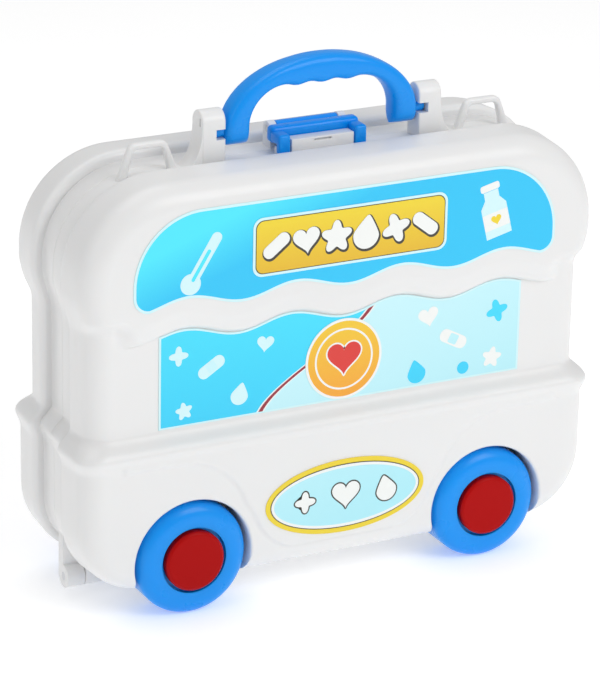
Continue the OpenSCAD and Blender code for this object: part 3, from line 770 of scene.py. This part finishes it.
def build_ear(s, place, right):
    """Ear with a round top, its flared gusset, a bore and snap slot for the handle pin, and a slit in its
    outer face."""
    base, y, r = strip_top(s) - ROOT, -s.handle_place, s.ear_depth / 2
    inner, top = s.leg_place + PLAY, s.pin_height + s.ear_height - r
    outer = inner + s.ear_width
    span = lambda near, far: sorted([right * near, right * far])
    line = np.r_[arc(y, top, r, 0, 180, 24), [[y - r, base], [y + r, base]]]
    ear = bevel(bar(f"handle_ear_{place}", line, *span(inner, outer)), 0.8)
    t = np.linspace(0, 1, 14) * pi / 2
    flare = np.c_[outer + 11 * (1 - np.sin(t)), base + 19 * (1 - np.cos(t))]
    gusset = np.r_[[[outer - 2, base]], flare, [[outer - 2, base + 19]]] * [right, 1]
    combine(ear, bevel(prism("gusset", gusset, y - r + 0.4, y + r - 0.4), 0.9), "UNION")
    (c, d), pin, slot = span(inner - 1, inner + 4.9), s.pin_height, s.handle_pin - 0.5
    cut = combine(rod("bore", c, d, y, pin, s.handle_pin + 0.05),
                  block("slot", (c, y - s.ear_depth, pin - slot), (d, y, pin + slot)), "UNION")
    combine(ear, cut)
    c, d = span(outer - 1.6, outer + 1)
    combine(ear, block("slit", (c, y - 3.6, top - 1.5), (d, y - 2.4, top + 2.6)))
    return soften(ear)


def build_strap_loop(s, place, right):
    """Low loop of rounded bar between two curves in front view, thicker towards its feet."""
    w, foot, top = s.loop_width / 2, strip_top(s) - 2.5, s.body_top + s.loop_height
    outer = np.array([[-w, foot], [-w + 1.2, foot + 3], [-10.6, top - 3.6], [-9.2, top - 1.3],
                      [-7.0, top - 0.15], [-4.5, top], [0, top]])
    inner = np.array([[-w + 6.4, foot], [-w + 6.0, foot + 3], [-8.0, top - 5.6], [-7.2, top - 4.2],
                      [-6.0, top - 3.35], [-4.5, top - s.loop_bar], [0, top - s.loop_bar]])
    outer, inner = (mirrored(refine(knots), 1) + [right * s.loop_place, 0] for knots in (outer, inner))
    return soften(section_loft(f"strap_loop_{place}", outer, inner, 4.2, -s.handle_place, 2.6, 28), 60)


def refine(points):
    """Smooth curve through points: a Catmull-Rom spline with five steps a span, all spans at once."""
    p = np.r_[[2 * points[0] - points[1]], points, [2 * points[-1] - points[-2]]]
    t = np.linspace(0, 1, 5, endpoint=False)[None, :, None]
    a, b, c, d = (p[i:len(p) - 3 + i, None, :] for i in range(4))
    curve = (2 * b + (c - a) * t + (2 * a - 5 * b + 4 * c - d) * t ** 2
             + (3 * b - a - 3 * c + d) * t ** 3) / 2
    return np.r_[curve.reshape(-1, 2), points[-1:]]


class CASE_OT_roof_fittings(bpy.types.Operator):
    """Ears for the handle, strap loops and the catch"""

    bl_idname = "toy_case.roof_fittings"
    bl_label = "Roof Fittings"

    def execute(self, context):
        s = sizes()
        for place, right in SIDES:
            for build in (build_ear, build_strap_loop):
                dress(build(s, place, right), "shell", "front_case")
        base, back, half = strip_top(s) - ROOT, s.latch_pin_place - CATCH_BACK, s.catch_width / 2
        top, wing, wing_top = base + 8.8, half + 6, base + 4.8
        catch = block("latch_catch", (-half, back - 6.5, base), (half, back, top))
        combine(catch, block("wings", (-wing, back - 2.5, base), (wing, back, wing_top)), "UNION")
        combine(catch, block("slot", (-4.6, back - 8, base + 6.9), (4.6, back - 4.6, base + 7.8)))
        dress(soften(bevel(catch, 0.6)), "shell", "front_case")
        return {"FINISHED"}


class CASE_OT_handle(bpy.types.Operator):
    """Blue carrying handle with finger waves and moulded pins; its outer line is half an ellipse"""

    bl_idname = "toy_case.handle"
    bl_label = "Handle"

    def execute(self, context):
        s = sizes()
        pin, foot_r, corner = s.pin_height, s.handle_depth / 2, s.grip_corner
        axes = np.array([s.leg_place, s.grip_rise])
        hole, under = s.leg_place - s.leg_width, s.grip_rise - s.grip_thickness
        # heights from here on are above the pin; foot: the depth follows a circle round the pin
        low = -foot_r * np.sin(np.radians([82, 70, 56, 42, 28, 14]))
        outer, inner = [np.c_[np.full(6, -s.leg_place), low]], [np.c_[np.full(6, -hole), low]]
        # leg: level sections between the ellipse and the hole
        rise = np.linspace(0, under - corner, 4)[:-1]
        outer.append(np.c_[-s.leg_place * np.sqrt(1 - (rise / s.grip_rise) ** 2), rise])
        inner.append(np.c_[np.full(3, -hole), rise])
        # corner: sections along rays from the centre of the inner corner, as far as they meet the ellipse
        middle, a = np.array([corner - hole, under - corner]), np.radians(np.linspace(180, 90, 30))
        ray = np.c_[np.cos(a), np.sin(a)]
        k2, k1 = ((ray / axes) ** 2).sum(1), (ray * middle / axes ** 2).sum(1)
        k0 = ((middle / axes) ** 2).sum() - 1
        outer.append(middle + ((np.sqrt(k1 ** 2 - k2 * k0) - k1) / k2)[:, None] * ray)
        inner.append(middle + corner * ray)
        # half of the grip with its finger waves
        u = np.linspace(-1, 0, 26)[1:]
        x = (hole - corner) * u
        outer.append(np.c_[x, s.grip_rise * np.sqrt(1 - (x / s.leg_place) ** 2)])
        inner.append(np.c_[x, under - s.finger_wave * (1 - np.cos(2 * pi * 3 * (u + 1) / 2)) / 2])
        outer, inner = (mirrored(np.concatenate(parts) + [0, pin], 1) for parts in (outer, inner))
        depth = 2 * np.sqrt(foot_r ** 2 - np.clip(pin - outer[:, 1], 0, foot_r) ** 2)
        pieces = [section_loft("carrying_handle", outer, inner, depth, -s.handle_place, 3.0, 56)]
        for _, right in SIDES:
            x0, x1 = sorted([right * (s.leg_place - 3), right * (s.leg_place + 4.5)])
            pieces.append(rod("pin", x0, x1, -s.handle_place, pin, s.handle_pin))
        piece = join("carrying_handle", pieces)
        dress(soften(piece, 40), "azure", "carry_handle", ["handle"])
        return {"FINISHED"}


class CASE_OT_latch(bpy.types.Operator):
    """Blue latch: bar, two hooked arms and the barrel on its pin"""

    bl_idname = "toy_case.latch"
    bl_label = "Latch"

    def execute(self, context):
        s = sizes()
        half, y, z = s.latch_width / 2, s.latch_pin_place, s.latch_pin_height
        front, low = y - LATCH_FRONT, strip_top(s) + LATCH_UNDER
        high, arm = low + s.latch_height, (s.latch_width - s.catch_width) / 2 - 0.7
        latch = bevel(block("lid_latch_piece", (-half, front, low), (half, front + 6.5, high)), 2.2, 5)
        for _, right in SIDES:
            a, b = sorted([right * (half - 0.1), right * (half - arm)])
            reach = block("arm", (a, front - 8, low + 0.8), (b, front + 2.5, high - 1.8))
            combine(latch, bevel(reach, 1.6, 4), "UNION")
            hook = block("hook", (a + 0.1, front - 7.9, low - 3.2), (b - 0.1, front - 4.1, low + 3))
            combine(latch, bevel(hook, 1.0), "UNION")
        barrel = half - LUG_INSET - PLAY
        combine(latch, block("web", (-barrel, front + 4.5, z - 3.4), (barrel, y, z + 2.6)), "UNION")
        combine(latch, rod("barrel", -barrel, barrel, y, z, 3.6), "UNION")
        combine(latch, rod("bore", -barrel - 1, barrel + 1, y, z, 1.55, 24))
        dress(soften(latch), "azure", "lid_latch", ["latch"])
        return {"FINISHED"}


class CASE_OT_wheels(bpy.types.Operator):
    """Four wheels with hub caps"""

    bl_idname = "toy_case.wheels"
    bl_label = "Wheels"

    def execute(self, context):
        s = sizes()
        face, back, bore = s.wheel_face, s.wheel_face - s.wheel_width, s.axle_radius + 0.05
        r, c, seat, out = s.wheel_radius, s.cap_radius, face - 3, face + s.cap_out
        recess, hub, shoulder_r, shoulder_l = c + 1.6, 8, 7.5, 6
        a = np.radians(np.linspace(0, 90, 18))
        tyre = np.r_[[[bore, back], [r - 1.2, back], [r - 0.35, back + 0.35], [r, back + 1.2]],
                     np.c_[r - shoulder_r + shoulder_r * np.cos(a),
                           face - shoulder_l + shoulder_l * np.sin(a)],
                     [[recess + 0.3, face], [recess + 0.08, face - 0.1], [recess, face - 0.35],
                      [recess, seat], [hub, seat], [hub, seat - 3], [bore, seat - 3]]]
        cap = [[0, seat - 0.1], [6.2, seat - 0.1], [6.2, seat - 2.8], [hub, seat - 2.8], [hub, seat],
               [c - 0.2, seat], [c, seat + 0.2], [c, out - 1.25], [c - 0.15, out - 0.95],
               [c - 1.0, out - 0.2], [c - 1.35, out - 0.06], [c - 1.8, out - 0.02], [c * 0.5, out], [0, out]]
        for half, side in (("front", -1), ("rear", 1)):
            for x, place in wheel_places(s):
                at = f"{half}_{place}"
                piece = soften(lathe(f"tyre_{at}", tyre, x, r, side, closed=True), 40)
                dress(piece, "azure", f"wheel_{at}_set", [f"wheel_{at}"])
                piece = soften(lathe(f"cap_{at}", cap, x, r, side), 25)
                dress(piece, "dark_red", f"wheel_{at}_set", [f"hub_cap_{at}"])
        return {"FINISHED"}


class CASE_OT_pins(bpy.types.Operator):
    """Steel finish of the hinge pins, the latch pin and the axles"""

    bl_idname = "toy_case.pins"
    bl_label = "Pins"

    def execute(self, context):
        for name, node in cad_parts.items():
            if "pin" in name or "axle" in name:
                node.data.materials.clear()
                node.data.materials.append(material("steel"))
        return {"FINISHED"}


# Labels


def rounded(w, h, cz, r):
    """Rounded rectangle about 0, cz."""
    x, z = w / 2 - r, h / 2 - r
    corners = ((x, -z, -90), (x, z, 0), (-x, z, 90), (-x, -z, 180))
    return np.concatenate([arc(dx, cz + dz, r, start, start + 90, 7) for dx, dz, start in corners])


def turned(line, cx, cz, angle=0.0):
    """A line about 0, 0 turned by degrees and moved to its place."""
    a = radians(angle)
    return np.asarray(line) @ np.array([[np.cos(a), np.sin(a)], [-np.sin(a), np.cos(a)]]) + [cx, cz]


def grown(line, d):
    """A closed line moved outwards by d along the mean normal of its neighbours."""
    line = np.asarray(line, float)
    t = np.roll(line, -1, axis=0) - np.roll(line, 1, axis=0)
    t /= np.linalg.norm(t, axis=1)[:, None]
    area = (line[:, 0] * np.roll(line[:, 1], -1) - np.roll(line[:, 0], -1) * line[:, 1]).sum()
    return line + np.sign(area) * d * np.c_[t[:, 1], -t[:, 0]]


def circle(r, n=40):
    """Circle about 0, 0."""
    return arc(0, 0, r, 0, 360, n)[:-1]


def heart(size, n=48):
    """Heart: x = 16 sin^3 t, z = 13 cos t - 5 cos 2t - 2 cos 3t - cos 4t, scaled to its size."""
    t = np.linspace(0, 2 * pi, n, endpoint=False)
    z = 13 * np.cos(t) - 5 * np.cos(2 * t) - 2 * np.cos(3 * t) - np.cos(4 * t) + 2.5
    return np.c_[16 * np.sin(t) ** 3, z] * size / 32


def drop(size):
    """Drop: a circle whose upper half is drawn out to a soft tip."""
    t = np.linspace(0, 2 * pi, 40, endpoint=False)
    up = np.maximum(np.cos(t), 0)
    return np.c_[np.sin(t) * (1 - 0.55 * up ** 1.5), np.cos(t) * (1 + 0.45 * up) - 0.2] * size / 2.4


def lobed(size, lobes, swing, n):
    """Shape whose radius swings round the turn: r = 1 - swing + swing cos(lobes t)."""
    t = np.linspace(0, 2 * pi, n, endpoint=False)
    r = 1 - swing + swing * np.cos(lobes * t)
    return np.c_[r * np.sin(t), r * np.cos(t)] * size / 2


def star(size):
    """Star with five blunt tips."""
    return lobed(size, 5, 0.20, 80)


def leaf_cross(size):
    """Four round petals about the middle, as on a simple flower."""
    return lobed(size, 4, 0.24, 72)


def plaster(size):
    """Sticking plaster: a long rounded strip."""
    return rounded(size, size * 0.42, 0, size * 0.2)


def film(name, line, depth, back, finish, node):
    """The lowest sheet of a label, which stands for its CAD node."""
    return dress(prism(name, line, -depth, -back), finish, "front_case", [node])


def layers(depth, rows):
    """Flat printed layers on the front from (name, line, level, finish). The level counts thin steps above
    the label's film at this depth."""
    for name, line, level, finish in rows:
        piece = prism(name, line, -(depth + LAYER * level), -(depth - PRINT_ROOT))
        dress(piece, finish, "front_case")


def wavy_edge(s, x0, x1, offset, n=90):
    """Points of a line parallel to the eave's wave, offset from it."""
    x = np.linspace(x0, x1, n)
    return np.c_[x, wave_at(s, x) + offset]


def roof_outline(s, inset):
    """Roof label: wavy below, large round corners above, moved inwards."""
    side, top, low_x, lift = 112 - inset, s.body_top - s.edge_radius - 0.5 - inset, 104, s.eave_slope + 8
    r, low_r, low_z = s.roof_corner - s.edge_radius - inset, 8 - inset, wave_at(s, low_x) + lift + 8
    return np.r_[wavy_edge(s, -low_x, low_x, lift + inset)[1:-1], arc(low_x, low_z, low_r, -90, 0, 8),
                 arc(side - r, top - r, r, 0, 90, 20), arc(r - side, top - r, r, 90, 180, 20),
                 arc(-low_x, low_z, low_r, 180, 270, 8)]


class CASE_OT_roof_label(bpy.types.Operator):
    """Cyan roof label with pale motifs and the yellow plate with plain white shapes"""

    bl_idname = "toy_case.roof_label"
    bl_label = "Roof Label"

    def execute(self, context):
        s = sizes()
        skin = s.half_depth + s.label
        film("roof_label_border", roof_outline(s, 0), skin, s.half_depth, "ice", "roof_label")
        thermometer, bottle = (-78, 177, -32), (78, 181, 14)
        bulb = turned(circle(5.2), *thermometer[:2]) + turned([[0, -10]], 0, 0, thermometer[2])
        glass = [[-7, -12], [7, -12], [7, 4], [4, 8], [4, 12], [-4, 12], [-4, 8], [-7, 4]]
        layers(skin, [
            ("roof_label_field", roof_outline(s, 1.3), 1, "sky"),
            ("thermometer", turned(rounded(5.4, 27, 4, 2.6), *thermometer), 2, "ice"),
            ("thermometer_bulb", bulb, 2.4, "ice"),
            ("thermometer_column", turned(rounded(1.8, 17, 0, 0.85), *thermometer), 3, "sky_panel"),
            ("bottle", turned(glass, *bottle), 2, "ice"),
            ("bottle_stopper", turned(rounded(10.5, 3.6, 14, 1.2), *bottle), 2, "paper"),
            ("bottle_band", turned(rounded(14, 8.5, -3.5, 0.3), *bottle), 3, "paper"),
            ("bottle_heart", turned(heart(5.6), 78.9, 177.6, bottle[2]), 4, "orange")])

        z, plate = (s.body_top - s.edge_radius + s.eave_height) / 2 + 7.5, s.half_depth + 2 * s.label
        film("title_plate_border", rounded(103, 29, z, 5), plate, skin, "ice", "title_plate")
        layers(plate, [("title_plate_line", rounded(100.4, 26.4, z, 4), 1, "ink"),
                                      ("title_plate_field", rounded(99.6, 25.6, z, 3.8), 2, "yellow")])
        shapes = [(plaster(15.5), 38), (heart(14), 6), (star(16.5), 0), (drop(16.5), -8),
                  (leaf_cross(15), 20), (plaster(15.5), -38)]
        first, pitch = -39.5, 15.8
        for number, (shape, turn) in enumerate(shapes):
            line = turned(shape, first + pitch * number, z, turn)
            shadow = grown(line, 0.75) + [0.35, -0.6]
            layers(plate, [(f"title_shape_shadow_{number}", shadow, 3, "ink"),
                                          (f"title_shape_{number}", line, 4.4, "paper")])
        return {"FINISHED"}


class CASE_OT_panel_label(bpy.types.Operator):
    """Label on the middle section in two blues with a dark red swoosh, small motifs and the round emblem"""

    bl_idname = "toy_case.panel_label"
    bl_label = "Panel Label"

    def execute(self, context):
        s = sizes()
        mid, x, low = s.half_depth - s.setback, 97, s.belt_height + s.belt_half + 0.3
        skin, border = mid + s.label, np.r_[[[-x, low], [x, low]], wavy_edge(s, x, -x, -0.7)]
        film("panel_label_border", border, skin, mid, "ice", "panel_label")
        x, low, gap = 96, low + 0.9, 1.7  # the print keeps this gap below the wave

        def swoosh(shift):
            """S-curve from the bottom edge to the wave: x = -46 + 62 times a smooth step up the label."""
            z = np.linspace(low, s.eave_height, 40)
            line = np.c_[-46 + shift + 62 * smooth((z - 92) / 56), z]
            line[-1, 1] = wave_at(s, line[-1, 0]) - gap
            line[:, 1] = np.minimum(line[:, 1], wave_at(s, line[:, 0]) - gap)
            return line

        def field(name, left, right, level, finish):
            """Layer between two lines, up to the wave."""
            top = wavy_edge(s, right[-1, 0], left[-1, 0], -gap, 60)[1:-1]
            return name, np.r_[right, top, left[::-1]], level, finish

        left, right = (np.array([[end, low], [end, wave_at(s, end) - gap]]) for end in (-x, x))
        layers(skin, [field("panel_label_left", left, swoosh(0), 1, "sky_panel"),
                                     field("panel_label_right", swoosh(0), right, 1, "pale_sky"),
                                     field("panel_swoosh_white", swoosh(-1.6), swoosh(2.6), 2, "paper"),
                                     field("panel_swoosh", swoosh(-0.6), swoosh(1.6), 3, "maroon")])

        # name, outline, place x and z, turn, finish
        motifs = [("star", star(9), -84, 104, 10, "ice"), ("plaster", plaster(15), -70, 124, 32, "ice"),
                  ("drop", drop(11), -55, 108, -14, "ice"), ("leaf", leaf_cross(10), -87, 132, 0, "ice"),
                  ("heart", heart(9), -42, 131, -8, "ice"),
                  ("drop_pale", drop(12), 40, 104, 12, "sky_panel"),
                  ("plaster_pale", plaster(16), 60, 118, -28, "paper"),
                  ("star_pale", star(11), 82, 105, -10, "paper"),
                  ("heart_pale", heart(11), 46, 131, 10, "paper"),
                  ("leaf_pale", leaf_cross(12), 84, 129, 16, "sky_panel"),
                  ("dot_pale", circle(3.2), 66, 102, 0, "sky_panel")]
        layers(skin, [(f"motif_{name}", turned(line, *place), 2.5, finish)
                                     for name, line, *place, finish in motifs])
        pad = rounded(5, 5, 0, 0.8)
        layers(skin, [(f"motif_{name}_pad", turned(pad, *place), 3.2, "pale_sky")
                                     for name, _, *place, _ in motifs if "plaster" in name])

        z, top = (ledge_top(s) + s.eave_height) / 2 - 2, mid + 2 * s.label
        film("emblem_rim", turned(circle(20.5, 96), 0, z), top, skin, "paper", "emblem_label")
        rows = [("disc", circle(19.2, 96), "orange"), ("ring", circle(15.6, 80), "paper"),
                ("middle", circle(14.6, 80), "orange"), ("heart_edge", grown(heart(18, 72), 0.8), "paper"),
                ("heart", heart(18, 72), "red")]
        layers(top, [(f"emblem_{name}", turned(line, 0, z), level, finish)
                                     for level, (name, line, finish) in enumerate(rows, 1)])
        return {"FINISHED"}


class CASE_OT_oval_label(bpy.types.Operator):
    """Oval label between the wheels: yellow ring, dark line, white halo and shapes on a pale middle"""

    bl_idname = "toy_case.oval_label"
    bl_label = "Oval Label"

    def execute(self, context):
        s = sizes()
        skin, z = s.half_depth + s.apron_relief, (s.apron_height + s.belt_height - s.belt_half) / 2 - 2.5
        top, oval = skin + s.label, lambda inset: turned(circle(1, 96) * [43 - inset, 19 - inset], 0, z)
        film("oval_ring", oval(0), top, skin, "ring", "oval_label")
        layers(top, [("oval_line", oval(2.4), 1, "ink"), ("oval_halo", oval(2.9), 2, "paper"),
                                   ("oval_middle", oval(4.4), 3, "pale_sky")])
        for name, shape, x, turn in (("leaf", leaf_cross(11), -22, 0), ("heart", heart(15), 0, 0),
                                     ("drop", drop(13), 22, 12)):
            line = turned(shape, x, z, turn)
            layers(top, [(f"oval_{name}_edge", grown(line, 0.7), 4, "ink"),
                                       (f"oval_{name}", line, 5, "paper")])
        return {"FINISHED"}


class CASE_OT_studio(bpy.types.Operator):
    """Pale floor, soft studio lights and the camera"""

    bl_idname = "toy_case.studio"
    bl_label = "Studio"

    def execute(self, context):
        scene, n = context.scene, 25
        c, line = scene.case_colours, np.linspace(-2500, 2500, n)
        x, y = np.meshgrid(line, line)
        mesh = bpy.data.meshes.new("floor")
        points = np.stack([x, y, np.zeros_like(x)], -1).reshape(-1, 3) * MM
        mesh.from_pydata(points.tolist(), [], grid_faces(np.arange(n * n).reshape(n, n)).tolist())
        floor = add_object("studio_floor", mesh)
        paper, tree, shader, place = node_material("studio_paper")
        feed(tree, shader, {"Base Color": ramp(tree, noise(tree, place, 3, 2), shades(c.floor, 0.004)),
                            "Roughness": 0.7, "Specular IOR Level": 0.2, "Emission Color": (1, 1, 1, 1),
                            "Emission Strength": 0.3})
        mesh.materials.append(paper)

        world = bpy.data.worlds.new("studio_air")
        world.use_nodes = True
        air = world.node_tree
        feed(air, air.nodes["Background"], {"Color": (1, 1, 1, 1), "Strength": 0.46})
        scene.world = world

        def softbox(name, place, size, power):
            """Rectangular light that looks at the middle of the case."""
            data = bpy.data.lights.new(name, "AREA")
            data.shape, data.size, data.size_y, data.energy = "RECTANGLE", *size, power
            light = add_object(name, data)
            light.location, light.rotation_mode = place, "QUATERNION"
            light.rotation_quaternion = (Vector((0, 0, 0.12)) - Vector(place)).to_track_quat("-Z", "Y")

        softbox("key_softbox", (0.75, -1.5, 1.35), (1.1, 1.1), c.key_power)
        softbox("top_softbox", (-0.2, 0.3, 1.9), (1.6, 0.9), 9)
        softbox("left_strip", (-1.5, -0.5, 1.0), (0.35, 1.2), 2)

        # Fitted to the photograph: right, up and view direction of the camera, its place and focal length
        right = Vector((0.89044368, -0.4546734, 0.01954881))
        up = Vector((0.14689947, 0.32781695, 0.93325055))
        forward = Vector((0.43073263, 0.82813535, -0.35869381))
        place_mm = (-733.4917, -1404.0178, 716.5097)
        focal_pixels, picture_pixels, sensor_mm = 3481.35, 700, 36
        data = bpy.data.cameras.new("photo_camera")
        data.sensor_width, data.lens = sensor_mm, focal_pixels / picture_pixels * sensor_mm
        data.clip_start, data.clip_end = 0.1, 30
        camera = add_object("photo_camera", data)
        matrix = Matrix((right, up, -forward)).transposed().to_4x4()
        matrix.translation = Vector(place_mm) * MM
        camera.matrix_world = matrix
        scene.camera = camera
        scene.view_settings.view_transform = "Standard"
        return {"FINISHED"}


OPERATORS = [CASE_OT_rear_half, CASE_OT_front_half, CASE_OT_roof_fittings, CASE_OT_handle, CASE_OT_latch,
             CASE_OT_wheels, CASE_OT_pins, CASE_OT_roof_label, CASE_OT_panel_label, CASE_OT_oval_label,
             CASE_OT_studio]
BUILDERS = [cls.bl_idname.split(".")[1] for cls in OPERATORS]


class CASE_PT_panel(bpy.types.Panel):
    """Builders and sizes of the toy case"""

    bl_idname = "CASE_PT_panel"
    bl_label = "Toy Case"
    bl_space_type = "VIEW_3D"
    bl_region_type = "UI"
    bl_category = "Toy Case"

    def draw(self, context):
        for name in BUILDERS:
            self.layout.operator(f"toy_case.{name}")
        for group in (context.scene.case_sizes, context.scene.fitting_sizes, context.scene.case_colours):
            box = self.layout.box()
            for prop in group.bl_rna.properties:
                if prop.identifier not in ("rna_type", "name"):
                    box.prop(group, prop.identifier)


CLASSES = [CaseSizes, FittingSizes, CaseColours, *OPERATORS, CASE_PT_panel]


def register():
    for cls in CLASSES:
        bpy.utils.register_class(cls)
    bpy.types.Scene.case_sizes = PointerProperty(type=CaseSizes)
    bpy.types.Scene.fitting_sizes = PointerProperty(type=FittingSizes)
    bpy.types.Scene.case_colours = PointerProperty(type=CaseColours)


def unregister():
    del bpy.types.Scene.case_sizes, bpy.types.Scene.fitting_sizes, bpy.types.Scene.case_colours
    for cls in reversed(CLASSES):
        bpy.utils.unregister_class(cls)


def main():
    register()
    for name in BUILDERS:
        if getattr(bpy.ops.toy_case, name)() != {"FINISHED"}:
            raise RuntimeError(f"toy_case.{name} did not finish")
    bpy.context.view_layer.update()


if __name__ == "__main__":
    main()
